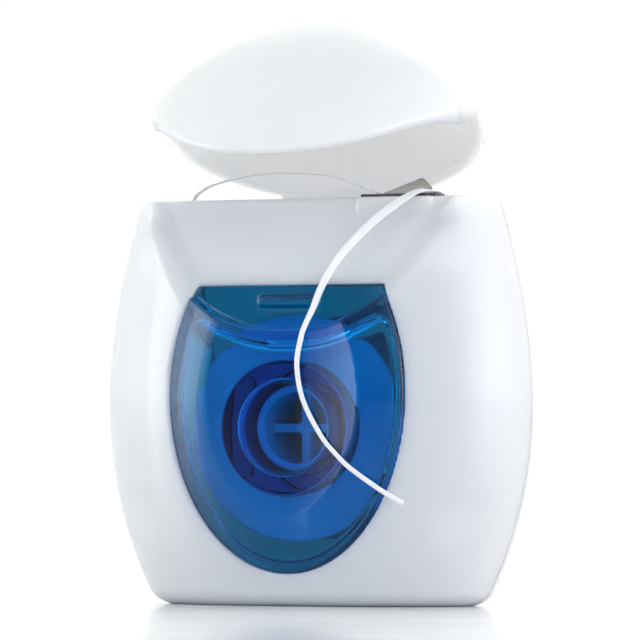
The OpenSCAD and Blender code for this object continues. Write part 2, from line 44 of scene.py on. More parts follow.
# The body
body_h = 40.4
belly_w = 45
base_w = 34.8
deck_w = 38.1
belly_z = 20.8
front_depth = 10.8
front_base_drop = 2.4
front_deck_drop = 1.8
rear_depth = 11.5
rear_base_drop = 3.1
rear_deck_drop = 5
wall = 1.2
bottom_round = 1.5
top_round = 0.4
plan_power = 2.2
low_power = 2.2
high_power = 1.75
depth_low_power = 2.4
front_high_power = 1.3
rear_high_power = 1.9

# The window
window_w = 25.2
window_h = 35.2
window_z = 20.8
plateau_w = 16.4
plateau_h = 23.6
plateau_depth = 10.7
window_bulge = 0.2
window_wall = 1.2
window_side = 2
window_step = 0.1

# The scoop and the seat of the lid's tongue
scoop_top = 16.6
scoop_low = 10.7
scoop_h = 8.7
scoop_deck_y = 4.4
scoop_window_y = 8.2
scoop_straight = 0.8
side_round = 1.8
seat_drop = 13.2
edge_reach = 18
edge_power = 2.4
rib_r = 0.6
rib_l = 6.4
rib_up = 3.1

# The lid, as it lies when closed, and how far it stands open
lid_w = 35.9
lid_h = 12.3
lid_front = 9.1
lid_rear = 10.3
lid_tips_y = 4
lid_wall = 0.9
tongue_curl = 0.7
lid_gap = 0.4
tongue_gap = 0.8
tongue_start = 2
bead_r = 0.6
bead_l = 2.8
bead_up = 1.2
lid_open = 45
lid_front_power = 2.2
lid_rear_power = 1.9
lid_top_power = 2.5
lid_back_power = 1.7
lid_tip_power = 1.8
tip_walls = 1.5

# The hinge
hinge_y = 6.3
hinge_z = 39.6
barrel_r = 1.2
barrel_l = 14
pin_r = 0.6
pin_l = 1.5
pin_clearance = 0.06
barrel_clearance = 0.3
web_in = 0.1
web_up = 0.8
bore_spare = 0.2

# The spool, the ring that carries it and the post inside
spool_z = 17.6
ring_r = 6.5
ring_wall = 1.6
hub_bore = 6.58
hub_wall = 0.8
flange_r = 11.2
flange_t = 0.6
spool_front = 6
spool_rear = 6
post_r = 4.3
post_wall = 0.8
cross_t = 0.9
cross_back = 2.2
bulk_r = 9.6

# The outlet and the cutter
outlet_x = 13.2
outlet_y = 1.8
outlet_r = 0.9
cutter_x = 5.8
cutter_l = 7.9
cutter_w = 2.8
cutter_y = 2.5
steel_t = 0.3
fin_in = 1.7
fin_l = 5.3
fin_h = 1.9
fin_peak = 4.2
fin_left = 0.6
fin_right = 0.9
fin_rise = 0.6
leg_l = 2.2
leg_w = 1.6
boss_out = 0.7
boss_past = 0.1

deck_under = body_h - wall
window_top = body_h - scoop_h
snap_x = 15.5
snap_levels = (8, 34)
snap_r = 0.9
snap_wall = 0.8
snap_reach = 3

# Fine sizes of the dressed pieces: gaps, rounded edges and what the forms need to meet
hollow_round = 0.6
scoop_floor_round = 1.6
boss_round = 0.4
side_start = 0.5
side_run = 2.2
rim_round = 0.45
seam_round = 0.04
window_fit = 0.04
rib_sink = 0.25
lid_least = 0.02
lip_round = 0.3
winding_gap = 0.1
winding_out = 0.35
winding_crown = 0.18
winding_turns = 14
steps_a_turn = 6
spool_rim = 0.15
cutter_bevel = 0.05
fin_lean = 0.3
fin_corner = 0.45

# The photograph's view: 10 pixels to a millimetre at the target, in a frame of 640 pixels
view_turn = math.radians(22.5)
view_distance = 530
view_height = 15
target_z = 28.4
target_side = -0.15
pixels_per_mm = 10
frame_pixels = 640

# The free strand
tape_w = 1
tape_t = 0.16
# How far along the strand, and how wide the tape is there, as a share of its full width
tape_widths = ((0, 0.8), (0.5, 0.9), (0.56, 1.05), (0.66, 0.85), (0.76, 0.62), (0.9, 0.46), (1, 0.5))
# Its points, and the way that the flat side of the tape faces there
strand_route = [
    (-10.7, -1.8, 17.6, -1, 0, 0),
    (-10.7, -1.8, 21, -1, 0, 0),
    (-11, -1.8, 25, -1, 0, 0),
    (-11.6, -1.8, 29, -1, 0, 0),
    (-12.4, -1.8, 33.5, -1, 0, 0),
    (-13, -1.8, 37.5, -1, 0, 0),
    (-13.2, -1.8, 39.6, -1, 0, 0),
    (-13.1, -1.8, 40.6, -1, 0, 0.3),
    (-12.5, -1.8, 41.3, -1, 0, 1),
    (-10.8, -1.8, 42.1, 0, 0, 1),
    (-7, -1.8, 42.9, 0, 0, 1),
    (-2.7, -1.7, 43.1, 0, 0, 1),
    (1.6, -1.5, 42.7, 0, 0, 1),
    (4.6, -1.3, 41.7, 0, 0, 1),
    (6.8, -1.2, 40.9, 0, 0, 1),
    (9, -1.1, 40.8, 0, 0, 1),
    (11.4, -1.2, 40.8, 0, 0, 1),
    (12.9, -1.5, 40.8, 0, 0, 1),
    (13.5, -2.4, 40.8, 0, 0, 1),
    (13.4, -3.5, 40.9, 0, 0, 1),
    (12.4, -4.8, 40.9, 0, -1, 2),
    (10.7, -5.9, 39.8, 0, -1, 0.6),
    (8.3, -6.9, 37.8, 0, -1, 0.4),
    (5.8, -8, 35, 0, -1, 0.4),
    (4.6, -8.8, 33, 0, -1, 0.4),
    (3.7, -9.3, 31.1, 0, -1, 0.3),
    (3.2, -9.7, 29.5, 0, -1, 0.4),
    (2.9, -10.3, 28.4, 0, -1, 0.6),
    (2.8, -11, 27.6, 0, -1, 0.8),
    (2.5, -11.3, 26.4, 0, -1, 0.2),
    (2.1, -11.4, 23.7, 0, -1, 0),
    (2.7, -11.3, 20.3, 0, -1, 0),
    (4.5, -11.2, 16.9, 0, -1, 0),
    (6, -11.1, 15.1, 0, -1, 0),
    (7.6, -11, 13.6, 0, -1, 0),
    (10.6, -10.6, 11.5, 0, -1, 0),
    (12.8, -10.2, 10.2, 0, -1, 0),
]


# Camera

def make_camera():
    right = Vector((math.cos(view_turn), math.sin(view_turn), 0))
    place = Vector((math.sin(view_turn), -math.cos(view_turn), 0)) * view_distance
    place.z = view_height
    target = right * target_side
    target.z = target_z
    data = bpy.data.cameras.new("camera")
    data.sensor_width = 36
    focal_pixels = pixels_per_mm * (target - place).length
    data.lens = focal_pixels / frame_pixels * data.sensor_width
    data.clip_start = 0.05
    data.clip_end = 20
    camera = bpy.data.objects.new("camera", data)
    camera.location = place * MM
    camera.rotation_euler = (target - place).to_track_quat("-Z", "Y").to_euler()
    bpy.context.scene.collection.objects.link(camera)
    bpy.context.scene.camera = camera


make_camera()


# Materials

class Nodes:
    """A new material's node tree, with short calls for adding and joining nodes."""

    def __init__(self, name):
        self.material = bpy.data.materials.new(name)
        self.material.use_nodes = True
        self.tree = self.material.node_tree
        self.shader = self.tree.nodes["Principled BSDF"]

    def add(self, kind, **inputs):
        node = self.tree.nodes.new(kind)
        for name, value in inputs.items():
            node.inputs[name].default_value = value
        return node

    def join(self, output, socket):
        self.tree.links.new(output, socket)

    def set(self, **values):
        for name, value in values.items():
            self.shader.inputs[name.replace("_", " ")].default_value = value

    def noise(self, scale, detail=2.0, rough=0.5, stretch=(1, 1, 1)):
        place = self.add("ShaderNodeTexCoord")
        turn = self.add("ShaderNodeMapping")
        turn.inputs["Scale"].default_value = stretch
        noise = self.add("ShaderNodeTexNoise", Scale=scale, Detail=detail, Roughness=rough)
        self.join(place.outputs["Object"], turn.inputs["Vector"])
        self.join(turn.outputs["Vector"], noise.inputs["Vector"])
        return noise.outputs["Fac"]

    def between(self, factor, low, high, start=0.3, end=0.7):
        spread = self.add("ShaderNodeMapRange")
        spread.inputs["From Min"].default_value = start
        spread.inputs["From Max"].default_value = end
        spread.inputs["To Min"].default_value = low
        spread.inputs["To Max"].default_value = high
        self.join(factor, spread.inputs["Value"])
        return spread.outputs["Result"]

    def colours(self, factor, first, second):
        ramp = self.add("ShaderNodeValToRGB")
        ramp.color_ramp.elements[0].color = (*first, 1)
        ramp.color_ramp.elements[1].color = (*second, 1)
        ramp.color_ramp.elements[0].position = 0.3
        ramp.color_ramp.elements[1].position = 0.7
        self.join(factor, ramp.inputs["Fac"])
        return ramp.outputs["Color"]

    def bump(self, height, strength, distance):
        bump = self.add("ShaderNodeBump", Strength=strength, Distance=distance)
        self.join(height, bump.inputs["Height"])
        self.join(bump.outputs["Normal"], self.shader.inputs["Normal"])


def white_plastic(name, depth, first, second):
    """Glossy white plastic. Light goes about that deep into it, in metres."""
    nodes = Nodes(name)
    nodes.join(
        nodes.colours(nodes.noise(120, 2), first, second),
        nodes.shader.inputs["Base Color"],
    )
    nodes.join(nodes.between(nodes.noise(300, 2), 0.07, 0.10), nodes.shader.inputs["Roughness"])
    nodes.bump(nodes.noise(420, 2), 0.02, 0.0001)
    nodes.set(IOR=1.5, Subsurface_Weight=1.0, Subsurface_Scale=depth)
    nodes.shader.inputs["Subsurface Radius"].default_value = (1, 1, 1)
    return nodes.material


def blue_plastic():
    nodes = Nodes("blue_window_plastic")
    cloud = nodes.noise(180, 2)
    nodes.join(
        nodes.colours(cloud, (0.02, 0.57, 0.97), (0.03, 0.59, 0.975)),
        nodes.shader.inputs["Base Color"],
    )
    nodes.join(nodes.between(nodes.noise(700, 2), 0.02, 0.05), nodes.shader.inputs["Roughness"])
    nodes.bump(nodes.noise(600, 1), 0.02, 0.0001)
    nodes.set(IOR=1.4, Specular_IOR_Level=0.4, Transmission_Weight=1.0)
    depth = nodes.add("ShaderNodeVolumeAbsorption", Color=(0, 0.95, 0.998, 1), Density=1750)
    nodes.join(depth.outputs["Volume"], nodes.tree.nodes["Material Output"].inputs["Volume"])
    return nodes.material


def cutter_steel():
    nodes = Nodes("cutter_steel")
    lines = nodes.noise(1800, 3, 0.6, (0.06, 1, 1))
    nodes.join(
        nodes.colours(lines, (0.30, 0.28, 0.26), (0.46, 0.44, 0.42)),
        nodes.shader.inputs["Base Color"],
    )
    nodes.join(nodes.between(lines, 0.24, 0.42), nodes.shader.inputs["Roughness"])
    nodes.bump(lines, 0.12, 0.00005)
    nodes.set(Metallic=1.0)
    return nodes.material


def cut_steel():
    nodes = Nodes("cut_edge_steel")
    lines = nodes.noise(2600, 2)
    nodes.join(
        nodes.colours(lines, (0.07, 0.068, 0.07), (0.12, 0.115, 0.115)),
        nodes.shader.inputs["Base Color"],
    )
    nodes.join(nodes.between(lines, 0.35, 0.5), nodes.shader.inputs["Roughness"])
    nodes.set(Metallic=1.0)
    return nodes.material


def spool_plastic():
    nodes = Nodes("spool_plastic")
    # The spool's white is greyer than the case's: painted shade, for its place in the shadowed inside of
    # the case
    nodes.join(
        nodes.colours(nodes.noise(300, 2), (0.68, 0.70, 0.74), (0.74, 0.76, 0.79)),
        nodes.shader.inputs["Base Color"],
    )
    nodes.join(nodes.between(nodes.noise(900, 2), 0.42, 0.55), nodes.shader.inputs["Roughness"])
    nodes.bump(nodes.noise(1500, 2), 0.06, 0.0001)
    nodes.set(IOR=1.5)
    return nodes.material


def floss_fibre():
    nodes = Nodes("floss_fibre")
    fibres = nodes.noise(5200, 3, 0.6, (1, 1, 0.14))
    nodes.join(
        nodes.colours(fibres, (0.96, 0.965, 0.97), (0.99, 0.99, 0.99)),
        nodes.shader.inputs["Base Color"],
    )
    nodes.join(nodes.between(fibres, 0.42, 0.6), nodes.shader.inputs["Roughness"])
    nodes.bump(fibres, 0.35, 0.00008)
    nodes.set(IOR=1.45, Sheen_Weight=0.25, Subsurface_Weight=0.3, Subsurface_Scale=0.0005)
    nodes.shader.inputs["Subsurface Radius"].default_value = (1, 1, 1)
    return nodes.material


def floor_material():
    nodes = Nodes("floor_white")
    pale = nodes.colours(nodes.noise(8, 2), (0.90, 0.91, 0.92), (0.92, 0.925, 0.93))
    # The floor is paler to the camera than to the light that it throws back
    path = nodes.add("ShaderNodeLightPath")
    shade = nodes.add("ShaderNodeMix")
    shade.data_type = "RGBA"
    shade.inputs["A"].default_value = (0.62, 0.63, 0.65, 1)
    nodes.join(path.outputs["Is Camera Ray"], shade.inputs["Factor"])
    nodes.join(pale, shade.inputs["B"])
    nodes.join(shade.outputs["Result"], nodes.shader.inputs["Base Color"])
    nodes.join(nodes.between(nodes.noise(30, 2), 0.10, 0.13), nodes.shader.inputs["Roughness"])
    return nodes.material


WHITE = white_plastic("white_plastic", 0.0034, (0.80, 0.815, 0.835), (0.82, 0.832, 0.85))
# The rear shell's white is a little darker than the front's: painted shade, so that its inside reads
# darker through the window
REAR_SHADED_WHITE = white_plastic("rear_plastic_painted_shade", 0.0016, (0.79, 0.805, 0.825), (0.81, 0.822, 0.84))
LID_WHITE = white_plastic("lid_plastic", 0.0042, (0.77, 0.785, 0.805), (0.79, 0.802, 0.82))
BLUE = blue_plastic()
STEEL = cutter_steel()
CUT_STEEL = cut_steel()
SPOOL_PAINTED_SHADE = spool_plastic()
FLOSS = floss_fibre()


def finish_piece(piece, material, body, slot, *nodes):
    piece.data.materials.append(material)
    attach(piece, body)
    if nodes:
        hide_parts(*nodes)
    return piece


# Meshes from points and faces, in millimetres

def mesh_object(name, points, faces, sharp=None):
    mesh = bpy.data.meshes.new(name)
    mesh.from_pydata((np.asarray(points, float) * MM).tolist(), [], faces)
    mesh.validate()
    mesh.shade_smooth()
    if sharp is not None:
        mesh.set_sharp_from_angle(angle=math.radians(sharp))
    piece = bpy.data.objects.new(name, mesh)
    bpy.context.scene.collection.objects.link(piece)
    return piece


def ring_faces(rings, count):
    """Quads between rings of equally many points, with an end face at each end."""
    faces = []
    for r in range(rings - 1):
        for j in range(count):
            after = (j + 1) % count
            low = r * count
            high = low + count
            faces.append((low + j, high + j, high + after, low + after))
    faces.append(tuple(range(count)))
    faces.append(tuple(range((rings - 1) * count, rings * count))[::-1])
    return faces


# The cord comes before the other pieces

def smooth_route(rows, parts):
    """A smooth line through the rows, each part split into equal steps."""
    rows = np.array(rows, float)
    ends = np.vstack([2 * rows[0] - rows[1], rows, 2 * rows[-1] - rows[-2]])
    line = []
    for k in range(1, len(ends) - 2):
        a, b, c, d = ends[k - 1:k + 3]
        for t in np.arange(parts) / parts:
            line.append(
                0.5 * (2 * b + (c - a) * t + (2 * a - 5 * b + 4 * c - d) * t ** 2
                       + (3 * b - a - 3 * c + d) * t ** 3)
            )
    line.append(rows[-1])
    return np.array(line)


def unit_rows(v):
    return v / np.linalg.norm(v, axis=1, keepdims=True)


def make_strand():
    line = smooth_route(strand_route, 5)
    points = line[:, :3]
    along = unit_rows(np.gradient(points, axis=0))
    facing = line[:, 3:]
    facing = unit_rows(facing - (facing * along).sum(1, keepdims=True) * along)
    across = np.cross(along, facing)
    share = np.linspace(0, 1, len(points))
    width = tape_w * np.interp(share, *zip(*tape_widths))
    sides = 14
    turn = 2 * math.pi * np.arange(sides) / sides
    flat = 0.5
    out = np.sign(np.cos(turn)) * np.abs(np.cos(turn)) ** flat
    up = np.sin(turn)
    verts = (
        points[:, None, :]
        + (width[:, None, None] / 2) * out[None, :, None] * across[:, None, :]
        + (tape_t / 2) * up[None, :, None] * facing[:, None, :]
    ).reshape(-1, 3)
    strand = mesh_object("floss_tape", verts, ring_faces(len(points), sides), 60)
    finish_piece(strand, FLOSS, "case", "floss", "floss_strand")


make_strand()


# Forms as fields: negative inside, about the distance in millimetres near the surface

def true_distance(values, step):
    slopes = np.gradient(values, step)
    length = np.sqrt(sum(s * s for s in slopes))
    return values / np.maximum(length, 1e-4)


def both(a, b, radius=0.0):
    """The part that lies in both forms, with its new edge rounded."""
    if np.ndim(radius) == 0 and radius == 0:
        return np.maximum(a, b)
    over = np.sqrt(np.maximum(a + radius, 0) ** 2 + np.maximum(b + radius, 0) ** 2)
    return np.minimum(np.maximum(a, b), -radius) + over


def either(a, b, radius=0.0):
    """Both forms together, with the inner corner between them filled."""
    return -both(-a, -b, radius)


def without(a, b, radius=0.0):
    return both(a, -b, radius)


class Grid:
    """A block of sample points in millimetres, a step apart."""

    def __init__(self, low, high, step):
        self.step = step
        axes = [np.arange(a - 2 * step, b + 2.5 * step, step) for a, b in zip(low, high)]
        self.low = np.array([axis[0] for axis in axes])
        self.x = axes[0][:, None, None]
        self.y = axes[1][None, :, None]
        self.z = axes[2][None, None, :]
        self.shape = tuple(len(axis) for axis in axes)

    def full(self, values):
        return np.broadcast_to(values, self.shape)

    def distance(self, values):
        return true_distance(self.full(values), self.step)

    def bar_y(self, x, z, front, rear, radius, edge=0.0):
        round_part = np.sqrt((self.x - x) ** 2 + (self.z - z) ** 2) - radius
        ends = np.maximum(front - self.y, self.y - rear)
        return both(self.full(round_part), self.full(ends), edge)

    def bar_x(self, y, z, length, radius, edge=0.0, middle=0.0):
        round_part = np.sqrt((self.y - y) ** 2 + (self.z - z) ** 2) - radius
        ends = np.abs(self.x - middle) - length / 2
        return both(self.full(round_part), self.full(ends), edge)

    def block(self, low, high):
        form = np.maximum(low[0] - self.x, self.x - high[0])
        form = np.maximum(form, np.maximum(low[1] - self.y, self.y - high[1]))
        return self.full(np.maximum(form, np.maximum(low[2] - self.z, self.z - high[2])))


def sampled(values, spots):
    """Values of a field at spots given in grid steps, between the eight samples round each."""
    base = np.floor(spots).astype(int)
    limit = np.array(values.shape) - 2
    base = np.clip(base, 0, limit)
    part = spots - base
    total = 0
    for dx in (0, 1):
        for dy in (0, 1):
            for dz in (0, 1):
                weight = (
                    (part[:, 0] if dx else 1 - part[:, 0])
                    * (part[:, 1] if dy else 1 - part[:, 1])
                    * (part[:, 2] if dz else 1 - part[:, 2])
                )
                total = total + weight * values[base[:, 0] + dx, base[:, 1] + dy, base[:, 2] + dz]
    return total


def zero_surface(grid, values):
    """Points and quads of the closed surface where the field is zero, one point in each crossed cell."""
    cells = tuple(n - 1 for n in grid.shape)
    sums = np.zeros(cells + (3,))
    counts = np.zeros(cells)
    crossings = []
    for axis in range(3):
        low = np.take(values, range(cells[axis]), axis)
        high = np.take(values, range(1, cells[axis] + 1), axis)
        crossed = (low < 0) != (high < 0)
        share = np.where(crossed, low / np.where(crossed, low - high, 1), 0)
        crossings.append((crossed, low < 0))
        u, v = (axis + 1) % 3, (axis + 2) % 3
        for du in (0, 1):
            for dv in (0, 1):
                part = [slice(None)] * 3
                part[u] = slice(du, cells[u] + du)
                part[v] = slice(dv, cells[v] + dv)
                here = crossed[tuple(part)]
                counts += here
                sums[..., axis] += share[tuple(part)]
                sums[..., u] += du * here
                sums[..., v] += dv * here
    active = counts > 0
    number = np.full(cells, -1)
    number[active] = np.arange(active.sum())
    spots = np.argwhere(active) + sums[active] / counts[active][:, None]
    quads = []
    for axis, (crossed, inside) in enumerate(crossings):
        u, v = (axis + 1) % 3, (axis + 2) % 3
        found = np.argwhere(crossed)
        outwards = inside[crossed]
        corner = []
        for du, dv in ((1, 1), (0, 1), (0, 0), (1, 0)):
            at = found.copy()
            at[:, u] -= du
            at[:, v] -= dv
            corner.append(number[tuple(at.T)])
        quad = np.stack(corner, 1)
        quad[~outwards] = quad[~outwards][:, ::-1]
        quads.append(quad)
    slopes = np.gradient(values)
    for _ in range(3):
        slope = np.stack([sampled(s, spots) for s in slopes], 1)
        away = sampled(values, spots) / np.maximum((slope ** 2).sum(1), 1e-6)
        spots = spots - np.clip(away[:, None] * slope, -0.4, 0.4)
    return grid.low + spots * grid.step, np.vstack(quads)


def field_object(name, grid, values, sharp=50):
    points, quads = zero_surface(grid, values)
    piece = mesh_object(name, points, quads.tolist())
    mesh = piece.data
    form = bmesh.new()
    form.from_mesh(mesh)
    bmesh.ops.recalc_face_normals(form, faces=form.faces)
    form.to_mesh(mesh)
    form.free()
    mesh.shade_smooth()
    mesh.set_sharp_from_angle(angle=math.radians(sharp))
    return piece


STEP = 0.2


# The case

def half_width(z):
    low = np.maximum(belly_z - z, 0) / belly_z
    high = np.maximum(z - belly_z, 0) / (body_h - belly_z)
    return (
        belly_w / 2
        - (belly_w - base_w) / 2 * low ** low_power
        - (belly_w - deck_w) / 2 * high ** high_power
    )


def depth_at(z, depth, base_drop, deck_drop, power):
    low = np.maximum(belly_z - z, 0) / belly_z
    high = np.maximum(z - belly_z, 0) / (body_h - belly_z)
    return depth - base_drop * low ** depth_low_power - deck_drop * high ** power


def front_at(z):
    return depth_at(z, front_depth, front_base_drop, front_deck_drop, front_high_power)


def rear_at(z):
    return depth_at(z, rear_depth, rear_base_drop, rear_deck_drop, rear_high_power)


def plan_share(x, a):
    return np.maximum(0, 1 - (np.abs(x) / a) ** plan_power) ** (1 / plan_power)


def front_y(x, z):
    return -front_at(z) * plan_share(x, half_width(z))


def edge_z(x, drop):
    return body_h - drop * (1 - np.minimum(1, np.abs(x) / edge_reach) ** edge_power)


def body_sides(grid):
    a = half_width(grid.z)
    d = np.where(grid.y < 0, front_at(grid.z), rear_at(grid.z))
    reach = (np.abs(grid.x) / a) ** plan_power + (np.abs(grid.y) / d) ** plan_power
    return grid.distance(np.maximum(reach, 1e-9) ** (1 / plan_power) - 1)


def body_form(grid, sides):
    form = both(sides, grid.full(grid.z - body_h), top_round)
    return both(form, grid.full(-grid.z), bottom_round)


def hollow_form(grid, sides):
    form = both(sides + wall, grid.full(grid.z - deck_under), hollow_round)
    return both(form, grid.full(wall - grid.z), hollow_round)


def scoop_form(grid, grown=0.0):
    """The space in front of the scoop's sloping floor and above the window."""
    slope = math.atan((scoop_window_y - scoop_deck_y) / scoop_h)
    y = grid.y + scoop_deck_y
    z = grid.z - body_h
    above = -y * math.cos(slope) + z * math.sin(slope)
    drop = (-y * math.sin(slope) - z * math.cos(slope)) * math.cos(slope)
    share = drop / scoop_h
    half = scoop_top - (scoop_top - scoop_low) * (
        scoop_straight * share + (1 - scoop_straight) * share * np.abs(share)
    )
    side = grid.distance(np.abs(grid.x) - half)
    form = both(side, grid.full(-above), scoop_floor_round) - grown
    return both(form, grid.full(window_top - grown - grid.z))


def cutter_boss(grid):
    """The boss below the cutter, with rounded upright edges."""
    middle = cutter_x + cutter_l / 2
    sides = np.abs(grid.x - middle) - cutter_l / 2 - boss_past
    return both(grid.full(sides), grid.full(-scoop_deck_y - boss_out - grid.y), boss_round)


def window_sides(grid):
    reach = (grid.x / (window_w / 2)) ** 2 + ((grid.z - window_z) / (window_h / 2)) ** 2
    return grid.distance(np.sqrt(np.maximum(reach, 1e-9)) - 1)


def snap_places():
    for x in (-snap_x, snap_x):
        for z in snap_levels:
            yield x, z


def make_front_shell():
    grid = Grid((-belly_w / 2, -front_depth, 0), (belly_w / 2, 0, body_h), STEP)
    sides = body_sides(grid)
    body = body_form(grid, sides)
    hollow = without(hollow_form(grid, sides), scoop_form(grid, wall), 0.4)
    for x, z in snap_places():
        socket = grid.bar_y(x, z, -front_depth, 2, snap_r + snap_wall)
        hollow = without(hollow, both(socket, sides + wall / 2), 0.2)
    scoop = without(scoop_form(grid), cutter_boss(grid), 0.3)
    below = np.clip((body_h - side_start - grid.z) / side_run, 0, 1)
    shell = without(body, scoop, rim_round + side_round * below ** 2 * (3 - 2 * below))
    shell = without(shell, hollow)
    opening = both(window_sides(grid), grid.full(grid.z - window_top))
    opening = both(opening, grid.full(grid.y + wall))
    shell = without(shell, opening, 0.12)
    outlet = np.sqrt((grid.x + outlet_x) ** 2 + (grid.y + outlet_y) ** 2) - outlet_r
    outlet = both(grid.full(outlet), grid.full(deck_under - 1 - grid.z))
    shell = without(shell, outlet, 0.3)
    for x, z in snap_places():
        shell = without(shell, grid.bar_y(x, z, -snap_reach, 2, snap_r))
    shell = both(shell, grid.full(grid.y), seam_round)
    piece = field_object("case_front", grid, shell)
    finish_piece(piece, WHITE, "case", "white_case", "front_shell")


def make_rear_shell():
    grid = Grid((-belly_w / 2, -spool_front, 0), (belly_w / 2, rear_depth, body_h), STEP)
    sides = body_sides(grid)
    body = body_form(grid, sides)
    hollow = hollow_form(grid, sides)
    r = barrel_r + barrel_clearance + wall
    half = barrel_l / 2 + barrel_clearance + 2 * wall
    block = grid.block((-half, hinge_y - r, hinge_z - r), (half, 30, 60))
    hollow = without(hollow, block, 0.4)
    shell = without(body, hollow)
    r = barrel_r + barrel_clearance
    half = barrel_l / 2 + barrel_clearance
    notch = grid.bar_x(hinge_y, hinge_z, 2 * half, r)
    notch = either(notch, grid.block((-half, hinge_y - r, hinge_z), (half, 30, 60)))
    notch = either(notch, grid.block((-half, hinge_y, hinge_z - r), (half, 30, hinge_z + r)))
    shell = without(shell, notch, 0.2)
    for side in (-1, 1):
        middle = side * (barrel_l / 2 + barrel_clearance + wall - pin_l / 2)
        pin = grid.bar_x(hinge_y, hinge_z, pin_l + 2 * wall, pin_r, 0.1, middle)
        shell = either(shell, pin)
    shell = both(shell, grid.full(-grid.y), seam_round)
    shell = either(shell, posts_form(grid), 0.2)
    piece = field_object("case_rear", grid, shell)
    finish_piece(piece, REAR_SHADED_WHITE, "case", "white_case", "rear_shell")


def posts_form(grid):
    """The post that keeps the spool's ring in place, with its cross, and the four snap posts."""
    back = float(rear_at(spool_z)) - wall / 2
    tube = without(
        grid.bar_y(0, spool_z, -spool_front, back, post_r, 0.15),
        grid.bar_y(0, spool_z, -spool_front - 1, back - wall, post_r - post_wall, 0.1),
        0.1,
    )
    start = cross_back - spool_front
    half = post_r - post_wall / 2
    arms = either(
        grid.block((-half, start, spool_z - cross_t / 2), (half, back, spool_z + cross_t / 2)),
        grid.block((-cross_t / 2, start, spool_z - half), (cross_t / 2, back, spool_z + half)),
        0.25,
    )
    form = either(tube, arms, 0.2)
    for x, z in snap_places():
        post_back = plan_share(snap_x, half_width(z)) * rear_at(z) - wall / 2
        form = either(form, grid.bar_y(x, z, -snap_reach, float(post_back), snap_r - 0.05, 0.2))
    return form


# The window

def window_depth(x, z):
    """How far the window's front stands out at x and z."""
    up = z - window_z
    inner = np.sqrt((x / (plateau_w / 2)) ** 2 + (up / (plateau_h / 2)) ** 2)
    outer = np.sqrt((x / (window_w / 2)) ** 2 + (up / (window_h / 2)) ** 2)
    inner = np.maximum(inner, 1e-6)
    outer = np.maximum(outer, 5e-7)
    share = np.clip((1 - 1 / inner) / (1 / outer - 1 / inner), 0, 1.3)
    fall = 0.55 * share + 0.45 * share ** 2
    edge_x = x / outer
    edge_up = window_z + up / outer
    edge = -front_y(edge_x, edge_up) - window_step
    crown = window_bulge * (1 - np.minimum(inner, 1) ** 2)
    return plateau_depth + crown + (edge - plateau_depth) * fall


def make_window():
    rear = spool_rear - flange_t
    grid = Grid(
        (-window_w / 2, -plateau_depth - window_bulge, window_z - window_h / 2),
        (window_w / 2, rear, window_top),
        STEP,
    )
    depth = window_depth(grid.x, grid.z)
    front = grid.distance(-grid.y - depth)
    sides = window_sides(grid) + window_fit
    form = both(front, sides, 0.25)
    back_y = float(front_y(window_w / 2, window_z)) + window_side
    form = both(form, grid.full(grid.y - back_y), 0.2)
    form = both(form, grid.full(grid.z - window_top + window_fit), 0.15)
    seat = both(grid.full(grid.y + scoop_window_y), grid.distance(edge_z(grid.x, seat_drop) - grid.z))
    form = without(form, seat, 0.2)
    room = both(front + window_wall, sides + window_wall, 0.4)
    kept = both(
        grid.full(grid.y + scoop_window_y - window_wall),
        grid.distance(edge_z(grid.x, seat_drop + window_wall) - grid.z),
        0.9,
    )
    room = without(room, kept, 2.4)
    form = without(form, room, 0.15)
    rib_z = float(edge_z(0, seat_drop)) + rib_up - rib_sink
    form = either(form, grid.bar_x(-scoop_window_y - rib_r / 4, rib_z, rib_l, rib_r, 0.3), 0.2)
    ring = without(
        grid.bar_y(0, spool_z, -plateau_depth + window_wall / 2, rear, ring_r, 0.2),
        grid.bar_y(0, spool_z, -plateau_depth + window_wall, rear + 2, ring_r - ring_wall, 0.2),
    )
    form = either(form, ring, 0.35)
    piece = field_object("window", grid, form)
    finish_piece(piece, BLUE, "case", "blue_window", "window_insert")


# The lid, made closed and then opened about its hinge

def lid_form(grid, inset, drop):
    a = lid_w / 2 - tip_walls * inset
    share = np.minimum(np.abs(grid.x) / a, 1.0)
    f = (lid_front - inset) * (1 - share ** lid_front_power) ** (1 / lid_front_power) + lid_least
    r = (lid_rear - inset) * (1 - share ** lid_rear_power) ** (1 / lid_rear_power) + lid_least
    h = (lid_h - inset) * (1 - share ** lid_tip_power) + lid_least
    y = grid.y + lid_tips_y
    z = grid.z - body_h
    low = np.clip(-z / drop, 0, 1.2)
    f_low = f - tongue_curl * f / lid_front * low ** 2
    reach_y = np.where(y < 0, np.abs(y) / f_low, np.abs(y) / r)
    power = np.where(y < 0, lid_top_power, lid_back_power)
    reach = (reach_y ** power + (np.maximum(z, 0) / h) ** power) ** (1 / power)
    form = grid.distance(reach - 1)
    return both(form, grid.full(np.abs(grid.x) - a))


